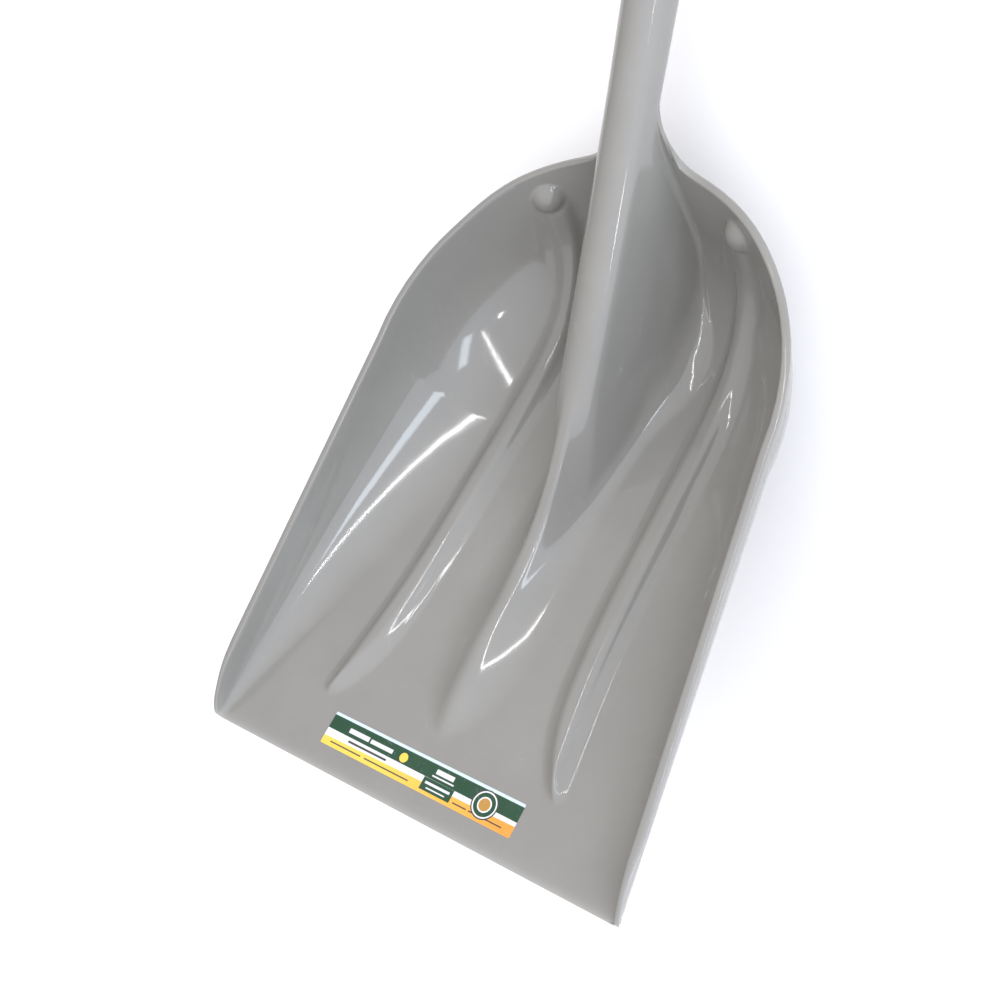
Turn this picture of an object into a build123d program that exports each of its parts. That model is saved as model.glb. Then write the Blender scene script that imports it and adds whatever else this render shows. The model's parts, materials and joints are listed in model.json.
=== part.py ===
"""Grain scoop shovel: moulded scoop with a long socket, wooden shaft, steel and wood D-grip.

Every piece is drawn in the scoop's own frame: the flat of the scoop's floor is z = 0, x runs
from the lip to the back, y is across, z is up out of the bowl.  The pieces are then laid down
together as the shovel lies on a floor, on its heel and on its D-grip, with the lip raised.
"""
import os
from math import asin, atan2, cos, degrees, exp, hypot, log, radians, sin, sqrt, tan

from build123d import *

# Driving dimensions, in millimetres and degrees
wall = 3.5                      # moulded wall of the scoop
lip_half_width = 186.2          # half width of the rim, carried forward to the lip
back_centre = 307.0             # where the straight sides end and the round back begins
back_radius = 165.3             # half width of the rim at back_centre
rim_height_at_lip = 19.3        # height of the rim's line, carried forward to the lip
rim_slope = 0.24                # rise of the rim for each mm towards the back
wall_lean = 6.0                 # the walls lean outward from upright
corner_radius_at_lip = 3.0      # floor to wall, at the lip
corner_radius_at_back = 86.0    # floor to wall, round the back
lip_corner_length = 45.0        # x where the rim's straight run begins, behind the lip's corner
rim_start = 18.0                # x where the turned rim begins
rim_reach = 2.6                 # how far the turned rim stands out from the wall
rim_depth = 9.0                 # height of the turned rim
top_of_walls = 185.0            # the walls are drawn this high, then trimmed to the rim

socket_lift = 37.65             # the handle's angle above the floor of the scoop
socket_origin = (462.5, 160.7)  # x and z of a point on the handle's axis: s = 0
socket_radius = 18.2            # outside radius of the socket at s = 0
socket_taper = 0.0153           # growth of that radius for each mm of s
socket_start = -140.0           # s where the tube begins, inside the ridge
socket_mouth = 150.0            # s of the socket's open end
socket_wall = 3.2
collar_length = 6.0             # the raised collar round the socket's mouth
collar_height = 1.4
bore_bottom = -95.0             # s where the socket's bore ends

ridge_tip = 57.0                # x of the middle ridge's pointed front end
ridge_height = 12.0             # height of its low front part
ridge_half_width = 21.0
channel_half_width = 13.5       # of the open channel under the socket, up the heel
rib_half_spacing = 79.0         # y of the side ribs, over most of their length
rib_tip = (53.6, 105.9)         # x and y of a side rib's pointed front end
rib_radius = 12.0
rib_sink = 4.0                  # the rib's round section is centred this far below the floor
rib_top_bend = (355.0, 95.0)    # x and z of the centre a side rib bends round, up the back wall
rib_turn = 92.0                 # degrees of that bend
knob_radius = 12.5
nose_length = 88.0              # the middle ridge widens and rises over this length
crown_radius = 17.5             # of its rounded top
ridge_bend = 30.0               # softness of its bend up towards the handle

shaft_end = -90.0               # s of the shaft's lower end, in the socket
shaft_top = 655.0               # s of its upper end, in the grip's ferrule
shaft_radius = 18.0
shaft_neck_radius = 15.9        # where the ferrule begins
seat_gap = 0.1                  # around the shaft, in the socket and in the ferrule

ferrule_start = 592.0           # s where the grip's steel ferrule begins
ferrule_wall = 1.8
neck_taper = 0.02               # the shaft's neck thins by this for each mm of s
grip_axis = 758.0               # s of the grip's rod
arm_half_spacing = 54.0         # y of the middle of each arm
arm_thickness = 3.2
arm_end_radius = 17.0
bar_radius = 15.0
bar_end_radius = 12.5
rod_radius = 4.0
rod_gap = 0.05                  # running clearance of the bar on its rod
washer_radius = 11.0
washer_thickness = 1.0
bar_end_gap = 0.3

rivet_radius = 2.6              # the two rivets of the ferrule
rivet_stations = (612.0, 640.0)
socket_rivet_radius = 3.2
socket_rivet_station = 128.0
burr_thickness = 1.2
burr_spread = 2.1               # a burr's radius, in rivet radii

label_size = (25.6, 176.8, 0.15)
label_start = 18.1              # x of the label's front edge
label_corner = 1.0


def socket_outside(s):
    """Outside radius of the socket at s along the handle."""
    return socket_radius + socket_taper * s


def along_handle(s, y=0.0):
    """The point on the handle's axis at s, moved across by y."""
    x0, z0 = socket_origin
    lift = radians(socket_lift)
    return (x0 + s * cos(lift), y, z0 + s * sin(lift))


# Sketch plane of the handle's side view: local x is s, local y is upward from the axis
handle_dir = (cos(radians(socket_lift)), 0, sin(radians(socket_lift)))
side_view = Plane(origin=along_handle(0), x_dir=handle_dir, z_dir=(0, -1, 0))
# Sketch plane of its top view: local x is s, local y is the scoop's y
top_view = Plane(origin=along_handle(0), x_dir=handle_dir, z_dir=side_view.y_dir)


def rim_line(x):
    """Height of the rim's straight run."""
    return rim_height_at_lip + rim_slope * x


def wall_at(half_width, rim_height, z, grow):
    """Distance of the leaning wall from the middle, at height z."""
    return half_width + (z - rim_height) * tan(radians(wall_lean)) + grow / cos(radians(wall_lean))


def bowl_body(grow):
    """The scoop's bowl as a solid block, with its floor and walls moved out by grow."""
    stations = (
        (0.0, lip_half_width, corner_radius_at_lip),
        (back_centre, back_radius, corner_radius_at_back),
    )
    back_height = rim_line(back_centre)
    with BuildPart(mode=Mode.PRIVATE) as body:
        for x, half_width, radius in stations:
            foot = wall_at(half_width, rim_line(x), -grow, grow)
            top = wall_at(half_width, rim_line(x), top_of_walls, grow)
            with BuildSketch(Plane.YZ.offset(x)) as section:
                with BuildLine():
                    Polyline(
                        (-top, top_of_walls),
                        (-foot, -grow),
                        (foot, -grow),
                        (top, top_of_walls),
                        close=True,
                    )
                make_face()
                fillet(section.vertices().group_by(Axis.Y)[0], radius + grow)
        loft(ruled=True)
        foot = wall_at(back_radius, back_height, -grow, grow)
        top = wall_at(back_radius, back_height, top_of_walls, grow)
        half_plane = Plane(origin=(back_centre, 0, 0), x_dir=(0, -1, 0), z_dir=(-1, 0, 0))
        with BuildSketch(half_plane) as back:
            with BuildLine():
                Polyline((0, top_of_walls), (0, -grow), (foot, -grow), (top, top_of_walls), close=True)
            make_face()
            fillet(back.vertices().group_by(Axis.Y)[0].sort_by(Axis.X)[-1], corner_radius_at_back + grow)
        revolve(axis=Axis((back_centre, 0, 0), (0, 0, 1)), revolution_arc=180)
    return body.part


def below_rim(drop):
    """Everything under the rim's line, with its saddle up to the socket, moved down by drop."""
    rise_start = 400.0
    with BuildPart(mode=Mode.PRIVATE) as region:
        with BuildSketch(Plane.XZ):
            with BuildLine():
                Polyline((-5, 0.4), (-5, -40), (540, -40), (540, 160))
                Spline(
                    (540, 160),
                    (475, 139.5),
                    (rise_start, rim_line(rise_start)),
                    tangents=[(-1, -0.3), (-1, -rim_slope)],
                )
                Line(
                    (rise_start, rim_line(rise_start)),
                    (lip_corner_length, rim_line(lip_corner_length)),
                )
                Spline(
                    (lip_corner_length, rim_line(lip_corner_length)),
                    (17, 18.4),
                    (3, 7.3),
                    (0, 0.4),
                    tangents=[(-1, -rim_slope), (-0.1, -1)],
                )
                Line((0, 0.4), (-5, 0.4))
            make_face()
        extrude(amount=230, both=True)
        with BuildSketch(Plane.YZ.offset(425)):
            with BuildLine():
                left = Spline((-80, 128), (-38, 143), (-17, 172), tangents=[(1, 0.12), (0.25, 1)])
                Line(left @ 1, (17, 172))
                right = Spline((17, 172), (38, 143), (80, 128), tangents=[(0.25, -1), (1, -0.12)])
                Polyline(right @ 1, (80, 100), (-80, 100), left @ 0)
            make_face()
        extrude(amount=75)
    return region.part.moved(Location((0, 0, -drop)))


def crest(x):
    """Height of the middle ridge's crest: a pointed nose, a low run, then up along the socket."""
    nose = min(1.0, max(0.0, (x - ridge_tip) / nose_length))
    low = ridge_height * sin(radians(90 * nose)) ** 0.8
    x0, z0 = socket_origin
    slope = tan(radians(socket_lift))
    top_line_foot = x0 - (z0 + socket_radius / cos(radians(socket_lift)) - 1.5 - ridge_height) / slope
    return low + slope * ridge_bend * log(1 + exp((x - top_line_foot) / ridge_bend))


def half_width(x):
    """Half width of the middle ridge where it meets the floor."""
    nose = min(1.0, max(0.0, (x - ridge_tip) / nose_length))
    return 1.0 + (ridge_half_width - 1.0) * sqrt(1 - (1 - nose) ** 2)


def ridge_body(stations, thinner, foot):
    """The middle ridge as a block lofted through arch sections, thinner by a wall if hollow."""
    with BuildPart(mode=Mode.PRIVATE) as ridge:
        for x in stations:
            top = crest(x) - thinner
            side = half_width(x) - thinner
            shoulder = min(side, crown_radius - thinner)
            shoulder_z = top - shoulder
            if shoulder_z < 0.5:
                shoulder, shoulder_z = side, 0.5 - thinner
            with BuildSketch(Plane.YZ.offset(x)):
                with BuildLine():
                    Polyline(
                        (-shoulder, shoulder_z),
                        (-side - 0.5, foot),
                        (side + 0.5, foot),
                        (shoulder, shoulder_z),
                    )
                    ThreePointArc((shoulder, shoulder_z), (0, top), (-shoulder, shoulder_z))
                make_face()
        loft()
    return ridge.part


def rib_body(radius):
    """One side rib: a round bead from its tip along the floor and up the back wall, to its knob."""
    y = rib_half_spacing
    bend_x, bend_z = rib_top_bend
    bend = Plane(origin=(bend_x, y, bend_z), x_dir=(1, 0, 0), z_dir=(0, -1, 0))
    reach = bend_z - 1 + rib_sink
    with BuildPart(mode=Mode.PRIVATE) as rib:
        with BuildLine() as path:
            Spline(
                (rib_tip[0] + 25, rib_tip[1] - 8, -rib_sink),
                (150, 87, -rib_sink),
                (230, y + 1, -rib_sink),
                (bend_x, y, bend_z - reach),
                tangents=[(1, -0.3, 0), (1, 0, 0)],
            )
            with BuildLine(bend, mode=Mode.ADD):
                CenterArc((0, 0), reach, -90, rib_turn)
        start = Plane(origin=path.line @ 0, z_dir=path.line % 0)
        with BuildSketch(start):
            Circle(radius)
        sweep()
        with BuildSketch(start):
            Circle(radius)
        with BuildSketch(Plane(origin=(rib_tip[0] + 9, rib_tip[1] - 2.5, -rib_sink), z_dir=start.z_dir)):
            Circle(radius * 0.62)
        with BuildSketch(Plane(origin=(rib_tip[0], rib_tip[1], -rib_sink), z_dir=start.z_dir)):
            Circle(radius * 0.34)
        loft()
        with Locations(path.line @ 1):
            Sphere(radius + knob_radius - rib_radius)
    return rib.part


def both_sides(body):
    """A body and its mirror image across the scoop's middle plane."""
    with BuildPart(mode=Mode.PRIVATE) as pair:
        add(body)
        mirror(about=Plane.XZ)
    return pair.part


def turned(plane, outline):
    """A round piece: the outline's (s, radius) points spun about the handle's axis."""
    with BuildPart(mode=Mode.PRIVATE) as body:
        with BuildSketch(plane):
            with BuildLine():
                Polyline((outline[0][0], 0), *outline, (outline[-1][0], 0), close=True)
            make_face()
        revolve(axis=Axis(plane.origin, plane.x_dir))
    return body.part


def shaft_in_socket(s):
    """Radius of the shaft's tapered end inside the socket."""
    return socket_outside(s) - socket_wall - seat_gap


def shaft_neck(s):
    """Radius of the shaft's tapered end inside the ferrule."""
    return shaft_neck_radius - neck_taper * (s - ferrule_start)


def rivet(place, radius, start, end):
    """A rivet along the place's normal: domed head at -start, formed end at +end."""
    with BuildPart(mode=Mode.PRIVATE) as body:
        with BuildSketch(place):
            Circle(radius)
        extrude(amount=-start)
        with BuildSketch(place):
            Circle(radius)
        extrude(amount=end)
        for side, foot, head_radius, height in ((-1, start, 2.0, 0.85), (1, end, 1.6, 0.7)):
            seat = place.origin + place.z_dir * side * foot
            head_plane = Plane(origin=seat, x_dir=place.x_dir, z_dir=place.z_dir * side)
            with BuildSketch(head_plane):
                Circle(radius * head_radius)
            extrude(amount=radius * height)
            ends = body.edges().sort_by(Axis(place.origin, place.z_dir))
            fillet(ends[-1 if side > 0 else 0], radius * height * 0.8)
    return body.part


def burr(place, radius, start):
    """The washer under a rivet's formed end."""
    with BuildPart(mode=Mode.PRIVATE) as body:
        with BuildSketch(place.offset(start)):
            Circle(radius * burr_spread)
            Circle(radius, mode=Mode.SUBTRACT)
        extrude(amount=burr_thickness)
    return body.part


def hole(place, radius):
    """A hole's core, right through along the place's normal."""
    with BuildPart(mode=Mode.PRIVATE) as body:
        with BuildSketch(place):
            Circle(radius)
        extrude(amount=60, both=True)
    return body.part


# The socket's rivet runs across, the ferrule's two run down through the handle
socket_rivet_place = Plane(origin=along_handle(socket_rivet_station), x_dir=handle_dir, z_dir=(0, 1, 0))
yoke_rivet_places = [
    Plane(origin=along_handle(s), x_dir=handle_dir, z_dir=-side_view.y_dir) for s in rivet_stations
]
grip_place = Plane(origin=along_handle(grip_axis), x_dir=handle_dir, z_dir=(0, 1, 0))

outer_bowl = bowl_body(wall)
inner_bowl = bowl_body(0)
ridge_stations = (58, 64, 75, 90, 115, 145, 200, 235, 265, 300, 350, 400, 440, 474)
channel_stations = (76, 90, 115, 145, 200, 235, 265, 300, 352)

collar_start = socket_mouth - collar_length

# Scoop: bowl, rim, ribs, ridge and socket in one moulding
with BuildPart() as beads:
    add(ridge_body(ridge_stations, 0, -8))
    add(both_sides(rib_body(rib_radius)))
    add(outer_bowl, mode=Mode.INTERSECT)

with BuildPart() as rim:
    add(bowl_body(wall + rim_reach))
    add(inner_bowl, mode=Mode.SUBTRACT)
    add(below_rim(0), mode=Mode.INTERSECT)
    add(below_rim(rim_depth), mode=Mode.SUBTRACT)
    split(bisect_by=Plane.YZ.offset(rim_start), keep=Keep.TOP)

with BuildPart() as scoop_blade:
    add(outer_bowl)
    add(inner_bowl, mode=Mode.SUBTRACT)
    add(beads.part)
    add(below_rim(0), mode=Mode.INTERSECT)
    add(rim.part)
    add(
        turned(
            side_view,
            (
                (socket_start, socket_outside(socket_start)),
                (collar_start - 2, socket_outside(collar_start - 2)),
                (collar_start, socket_outside(socket_mouth) + collar_height),
                (socket_mouth - 1, socket_outside(socket_mouth) + collar_height),
                (socket_mouth, socket_outside(socket_mouth) + 0.6),
            ),
        )
    )
    # Grooves under the ribs, and the open channel under the ridge and the socket
    add(both_sides(rib_body(rib_radius - wall)), mode=Mode.SUBTRACT)
    add(ridge_body(channel_stations, wall, -30), mode=Mode.SUBTRACT)
    under_socket = socket_radius / cos(radians(socket_lift)) + 2.0
    slope = tan(radians(socket_lift))
    channel_ends = (352, 500)
    heights = [socket_origin[1] + (x - socket_origin[0]) * slope - under_socket for x in channel_ends]
    with BuildSketch(Plane.XZ):
        with BuildLine():
            Polyline(
                (channel_ends[0], heights[0]),
                (channel_ends[0], -40),
                (channel_ends[1], -40),
                (channel_ends[1], heights[1]),
                close=True,
            )
        make_face()
    extrude(amount=channel_half_width, both=True, mode=Mode.SUBTRACT)
    add(
        turned(
            side_view,
            (
                (bore_bottom, socket_outside(bore_bottom) - socket_wall),
                (socket_mouth + 1, socket_outside(socket_mouth + 1) - socket_wall),
            ),
        ),
        mode=Mode.SUBTRACT,
    )
    add(hole(socket_rivet_place, socket_rivet_radius), mode=Mode.SUBTRACT)

# Label: a thin vinyl sheet on the floor, just behind the lip
with BuildPart() as blade_label:
    with BuildSketch(Plane.XY):
        with Locations((label_start + label_size[0] / 2, 0)):
            RectangleRounded(label_size[0], label_size[1], label_corner)
    extrude(amount=label_size[2])

# Shaft: tapered into the socket, full round in the middle, necked down into the ferrule
with BuildPart() as handle_shaft:
    add(
        turned(
            side_view,
            (
                (shaft_end, shaft_in_socket(shaft_end) - 1.0),
                (shaft_end + 1.0, shaft_in_socket(shaft_end + 1.0)),
                (socket_mouth, shaft_in_socket(socket_mouth)),
                (socket_mouth + 45, shaft_radius),
                (420, shaft_radius),
                (ferrule_start, shaft_neck(ferrule_start)),
                (shaft_top, shaft_neck(shaft_top)),
            ),
        )
    )
    add(hole(socket_rivet_place, socket_rivet_radius), mode=Mode.SUBTRACT)
    for place in yoke_rivet_places:
        add(hole(place, rivet_radius), mode=Mode.SUBTRACT)

# Rivet across the socket, with its washer
socket_reach = socket_outside(socket_rivet_station + burr_spread * socket_rivet_radius)
with BuildPart() as socket_rivet:
    add(rivet(socket_rivet_place, socket_rivet_radius, socket_reach, socket_reach + burr_thickness))

with BuildPart() as socket_rivet_burr:
    add(burr(socket_rivet_place, socket_rivet_radius, socket_reach))


def ferrule_outside(s):
    """Outside radius of the grip's ferrule at s along the handle."""
    return shaft_neck(s) + seat_gap + ferrule_wall


# Grip yoke: a ferrule that spreads into two flat steel arms with round ends
ferrule_bore = [(s, shaft_neck(s) + seat_gap) for s in (ferrule_start, shaft_top + 0.5)]
yoke_bend = shaft_top + 2.5
with BuildPart() as grip_yoke:
    with BuildSketch(top_view):
        with BuildLine():
            outer = Line((grip_axis + arm_end_radius, arm_half_spacing), (716, arm_half_spacing))
            Spline(
                outer @ 1,
                (684, 36),
                (yoke_bend, 0),
                tangents=[(-1, -0.02), (0, -1)],
            )
            mirror(about=Plane.XZ)
        trace(line_width=arm_thickness)
    extrude(amount=arm_end_radius, both=True)
    with BuildSketch(side_view):
        with BuildLine():
            Polyline(
                (shaft_top - 8, -16.3),
                (shaft_top + 12, -14),
                (705, -11),
                (grip_axis, -11),
                (grip_axis, 11),
                (705, 11),
                (shaft_top + 12, 14),
                (shaft_top - 8, 16.3),
                close=True,
            )
        make_face()
        with Locations((grip_axis, 0)):
            Circle(arm_end_radius)
    extrude(amount=arm_half_spacing + 10, both=True, mode=Mode.INTERSECT)
    add(turned(side_view, [(s, ferrule_outside(s)) for s in (ferrule_start, yoke_bend)]))
    add(turned(side_view, ferrule_bore), mode=Mode.SUBTRACT)
    add(hole(grip_place, rod_radius), mode=Mode.SUBTRACT)
    for place in yoke_rivet_places:
        add(hole(place, rivet_radius), mode=Mode.SUBTRACT)

# Rivets through the ferrule and the shaft, with their washers
with BuildPart() as yoke_rivets:
    for s, place in zip(rivet_stations, yoke_rivet_places):
        reach = ferrule_outside(s - burr_spread * rivet_radius)
        add(rivet(place, rivet_radius, reach, reach + burr_thickness))

with BuildPart() as yoke_rivet_burrs:
    for s, place in zip(rivet_stations, yoke_rivet_places):
        add(burr(place, rivet_radius, ferrule_outside(s - burr_spread * rivet_radius)))

# Rod through both arms: headed on one side, peened over on the other
arm_outside = arm_half_spacing + arm_thickness / 2
arm_inside = arm_half_spacing - arm_thickness / 2
with BuildPart() as grip_rod:
    add(rivet(grip_place, rod_radius, arm_outside, arm_outside))

with BuildPart() as grip_rod_washers:
    for side in (-1, 1):
        with BuildSketch(grip_place.offset(side * arm_inside)):
            Circle(washer_radius)
            Circle(rod_radius, mode=Mode.SUBTRACT)
        extrude(amount=-side * washer_thickness)

# Hand bar: a turned wooden barrel, free to turn on the rod
bar_half_length = arm_inside - washer_thickness - bar_end_gap
with BuildPart() as grip_bar:
    with BuildSketch(top_view):
        with BuildLine():
            Line((grip_axis, -bar_half_length), (grip_axis + bar_end_radius - 1, -bar_half_length))
            Line(
                (grip_axis + bar_end_radius - 1, -bar_half_length),
                (grip_axis + bar_end_radius, -bar_half_length + 1),
            )
            ThreePointArc(
                (grip_axis + bar_end_radius, -bar_half_length + 1),
                (grip_axis + bar_radius, 0),
                (grip_axis + bar_end_radius, bar_half_length - 1),
            )
            Line(
                (grip_axis + bar_end_radius, bar_half_length - 1),
                (grip_axis + bar_end_radius - 1, bar_half_length),
            )
            Line((grip_axis + bar_end_radius - 1, bar_half_length), (grip_axis, bar_half_length))
            Line((grip_axis, bar_half_length), (grip_axis, -bar_half_length))
        make_face()
    revolve(axis=Axis(grip_place.origin, grip_place.z_dir))
    add(hole(grip_place, rod_radius + rod_gap), mode=Mode.SUBTRACT)

# Lay the shovel down: it turns about y until its heel and its grip stand on one floor
foot_at_back = wall_at(back_radius, rim_line(back_centre), 0, 0)
heel_reach = foot_at_back - corner_radius_at_back * tan(radians(45 - wall_lean / 2))
heel_centre = (back_centre + sqrt(heel_reach**2 - channel_half_width**2), corner_radius_at_back)
heel_radius = corner_radius_at_back + wall
grip_x, _, grip_z = along_handle(grip_axis)
run = grip_x - heel_centre[0]
climb = grip_z - heel_centre[1]
lean = degrees(atan2(climb, run) + asin((heel_radius - arm_end_radius) / hypot(run, climb)))

pieces = {
    "scoop_blade": scoop_blade,
    "blade_label": blade_label,
    "handle_shaft": handle_shaft,
    "socket_rivet": socket_rivet,
    "socket_rivet_burr": socket_rivet_burr,
    "grip_yoke": grip_yoke,
    "yoke_rivets": yoke_rivets,
    "yoke_rivet_burrs": yoke_rivet_burrs,
    "grip_rod": grip_rod,
    "grip_rod_washers": grip_rod_washers,
    "grip_bar": grip_bar,
}
laid = {name: piece.part.moved(Location((0, 0, 0), (0, lean, 0))) for name, piece in pieces.items()}
box = Compound(children=[part.moved(Location()) for part in laid.values()]).bounding_box()
drop = Location((-(box.min.X + box.max.X) / 2, 0, -box.min.Z))

os.makedirs("parts", exist_ok=True)
for name, part in laid.items():
    part = part.moved(drop)
    part.label = name
    export_step(part, f"parts/{name}.step")

print("turned", lean, "degrees, moved", drop.position)
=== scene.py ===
"""Looks of the grain scoop shovel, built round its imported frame.

The scoop is one closed mesh, made section by section in the scoop's own axes and in millimetres.
The label, the hand bar and the rivets follow, then the floor, the light and the camera.
"""
import json
import math

import bmesh
import bpy
import numpy as np
from mathutils import Matrix, Vector


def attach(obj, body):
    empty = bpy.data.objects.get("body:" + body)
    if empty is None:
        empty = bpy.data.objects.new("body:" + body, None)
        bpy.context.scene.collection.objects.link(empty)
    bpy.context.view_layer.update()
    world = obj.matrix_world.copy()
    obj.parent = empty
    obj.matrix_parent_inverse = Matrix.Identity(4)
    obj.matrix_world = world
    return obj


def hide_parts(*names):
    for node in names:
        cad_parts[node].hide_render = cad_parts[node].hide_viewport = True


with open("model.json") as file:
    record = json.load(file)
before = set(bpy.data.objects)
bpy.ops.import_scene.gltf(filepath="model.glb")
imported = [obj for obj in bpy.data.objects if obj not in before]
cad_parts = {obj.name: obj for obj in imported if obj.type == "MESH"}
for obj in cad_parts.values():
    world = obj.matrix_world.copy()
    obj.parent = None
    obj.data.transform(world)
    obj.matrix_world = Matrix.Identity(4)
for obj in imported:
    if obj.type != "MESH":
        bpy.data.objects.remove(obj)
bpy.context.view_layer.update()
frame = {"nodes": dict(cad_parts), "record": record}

MM = 0.001

# The scoop's own axes in the row frame, from the flat underside that the record states:
# x runs from the lip to the back, y is across, z is up out of the floor.
SOLE_POINT = (200.0, 45.0, -3.5)
sole = next(m for m in frame["record"]["mounts"] if m["name"] == "sole")
UP = -np.array(sole["axis"])
ACROSS = np.array((0.0, 1.0, 0.0))
BACK = np.cross(ACROSS, UP)
AXES = np.stack((BACK, ACROSS, UP))
ORIGIN = np.array(sole["pos_m"]) - MM * np.array(SOLE_POINT) @ AXES


def to_row(points):
    """Points in the scoop's frame, in millimetres, as points of the row frame, in metres."""
    return ORIGIN + MM * np.asarray(points, float) @ AXES


# ---------------------------------------------------------------- the scoop's shape, in mm
SQUARE = math.pi / 2
# Walls: their lean from upright, the round back, and the corner between floor and wall
WALL = 3.5
LEAN = math.radians(6.0)
ARC = SQUARE - LEAN
BACK_CENTRE = 307.0
FOOT_AT_LIP, FOOT_AT_BACK = 184.2, 155.5
CORNER_AT_LIP, CORNER_AT_BACK = 2.0, 86.0

# Rim: its straight rise, then the saddle that lifts it to the socket
RIM_AT_LIP, RIM_SLOPE = 19.3, 0.24
RIM_SWELL, RIM_SADDLE, RIM_SADDLE_WIDTH = 4.5, 62.0, 22.0
RIM_SADDLE_RISES = (400.0, 450.0)
RIM_WIDENS = (14.0, 60.0)
RIM_REACH, RIM_DEPTH, RIM_EDGE = 2.6, 9.0, 1.1
LIP_CORNER_START, LIP_CORNER_END = 0.0, 44.0
LIP_BEVEL = 0.8

# Socket: the handle's angle above the floor, and a point on its axis
LIFT = math.radians(37.65)
AXIS_X, AXIS_Z = 462.5, 160.7
SOCKET_RADIUS, SOCKET_TAPER = 18.2, 0.0153
SOCKET_MOUTH, SOCKET_WALL = 150.0, 3.2
COLLAR_START, COLLAR = 144.0, 1.4
SOCKET_EDGE = 0.9
BORE_BOTTOM = -95.0

# Middle ridge: a low nose, then a tall wall under the handle
RIDGE_TIP, RIDGE_FULL = 57.0, 145.0
RIDGE_HEIGHT, RIDGE_HALF_WIDTH = 12.0, 21.0
RIDGE_BEND = 30.0
RIDGE_STEEPENS = (250.0, 322.0)
RIDGE_FILLET, DEEP_FILLET, WEB_FILLET = 13.0, 30.0, 6.0
FILLET_DEEPENS, FILLET_TIGHTENS = (320.0, 390.0), (402.0, 462.0)
CHANNEL_CLOSES = (338.0, 362.0)
CROWN, FLANK_SLOPE = 17.8, 8.0
LANDING, LAST_LANDING = 53.0, 34.0
LANDING_NARROWS = (400.0, 462.0)

# Side ribs, and the round knob at the top of each
RIB_TIP, RIB_FULL = 53.6, 128.0
RIB_HEIGHT, RIB_HALF_WIDTH, RIB_FLANK = 8.0, 14.0, 0.95
RIB_SPACING, RIB_SPREAD, RIB_STRAIGHTENS = 79.5, 26.5, 55.0
RIB_THINS, RIB_LOWERS, RIB_ENDS = (330.0, 430.0), (20.0, 90.0), (92.0, 112.0)
RIB_THINNED, RIB_LOWERED = 1.5, 0.35
KNOB_HALF_SPACING, KNOB_CENTRE_HEIGHT = 82.0, 107.0
KNOB_RADIUS, KNOB_HEIGHT = 13.5, 9.0

# How many steps each stretch of a half section has, and how the web to the socket is made
COUNTS = {"ridge": 46, "bowl": 84, "rim": 20, "outside": 40, "channel": 30}
WEB_STARTS, WEB_ENDS, WEB_STEPS = 127.0, 42.0, 16
SHOULDER = math.radians(70)


def blend_step(x, start, end):
    """Smooth step from 0 at start to 1 at end."""
    t = np.clip((x - start) / (end - start), 0.0, 1.0)
    return t * t * (3 - 2 * t)


def soft_min(a, b, k):
    """The smaller of a and b, rounded over k."""
    h = np.clip(1 - np.abs(a - b) / k, 0.0, 1.0)
    return np.minimum(a, b) - h * h * k / 4


def taper(x, at_lip, at_back):
    """A size that changes evenly from the lip to the centre of the round back."""
    return at_lip + (at_back - at_lip) * np.clip(x / BACK_CENTRE, 0.0, 1.0)


def corner(x):
    """Radius between floor and wall."""
    return taper(x, CORNER_AT_LIP, CORNER_AT_BACK)


def floor_edge(x):
    """Where the floor ends and the corner begins, from the middle."""
    return taper(x, FOOT_AT_LIP, FOOT_AT_BACK) - corner(x) * math.tan(math.radians(45) - LEAN / 2)


def climb(run, radius, grow=0.0):
    """Way out, height and tilt at arc length run past the floor's edge."""
    tilt = np.clip(run / radius, 0.0, ARC)
    past = np.maximum(run - radius * ARC, 0.0)
    out = np.minimum(run, 0.0) + (radius + grow) * np.sin(tilt) + past * math.sin(LEAN)
    height = radius - (radius + grow) * np.cos(tilt) + past * math.cos(LEAN)
    return out, height, tilt


def landing_at(x):
    """Distance from the middle at which a section leaves the ridge for the bowl."""
    return LANDING + (LAST_LANDING - LANDING) * float(blend_step(x, *LANDING_NARROWS))


def run_back(x, y, grow):
    """Arc length past the floor's edge over a point of the floor's middle, on the round back."""
    far = math.hypot(max(x - BACK_CENTRE, 0.0), y) - floor_edge(BACK_CENTRE)
    if x <= BACK_CENTRE or far < 0:
        return y - floor_edge(x) if x <= BACK_CENTRE else far
    end = (CORNER_AT_BACK + grow) * math.sin(ARC)
    on_arc = CORNER_AT_BACK * math.asin(min(far, end) / (CORNER_AT_BACK + grow))
    return on_arc + max(far - end, 0.0) / math.sin(LEAN)


def plain_bowl(x, y, grow):
    """Height and steepness of the bowl without ridge or ribs, near the middle."""
    radius = CORNER_AT_BACK + grow
    far = np.hypot(max(x - BACK_CENTRE, 0.0), y) - floor_edge(BACK_CENTRE)
    far = far if x > BACK_CENTRE else np.full_like(far, -1.0)
    end = radius * math.sin(ARC)
    inside = np.clip(far, 0.0, end)
    drop = np.sqrt(radius**2 - inside**2)
    height = CORNER_AT_BACK - drop + np.maximum(far - end, 0.0) / math.tan(LEAN)
    return height, np.where(far > end, 1 / math.tan(LEAN), inside / drop)


def rim_height(x, y):
    """Height of the rim: a round corner at the lip, a straight rise, a saddle at the socket."""
    t = np.clip((LIP_CORNER_END - x) / (LIP_CORNER_END - LIP_CORNER_START), 0.0, 1.0)
    line = (RIM_AT_LIP + RIM_SLOPE * x) * np.sqrt(1 - t * t)
    saddle = RIM_SWELL + RIM_SADDLE * np.exp(-((y / RIM_SADDLE_WIDTH) ** 2))
    return line + saddle * blend_step(x, *RIM_SADDLE_RISES)


def nose(x, tip, full):
    """0 at the tip of a ridge, 1 where it has its full size."""
    return np.clip((x - tip) / (full - tip), 0.0, 1.0)


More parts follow.
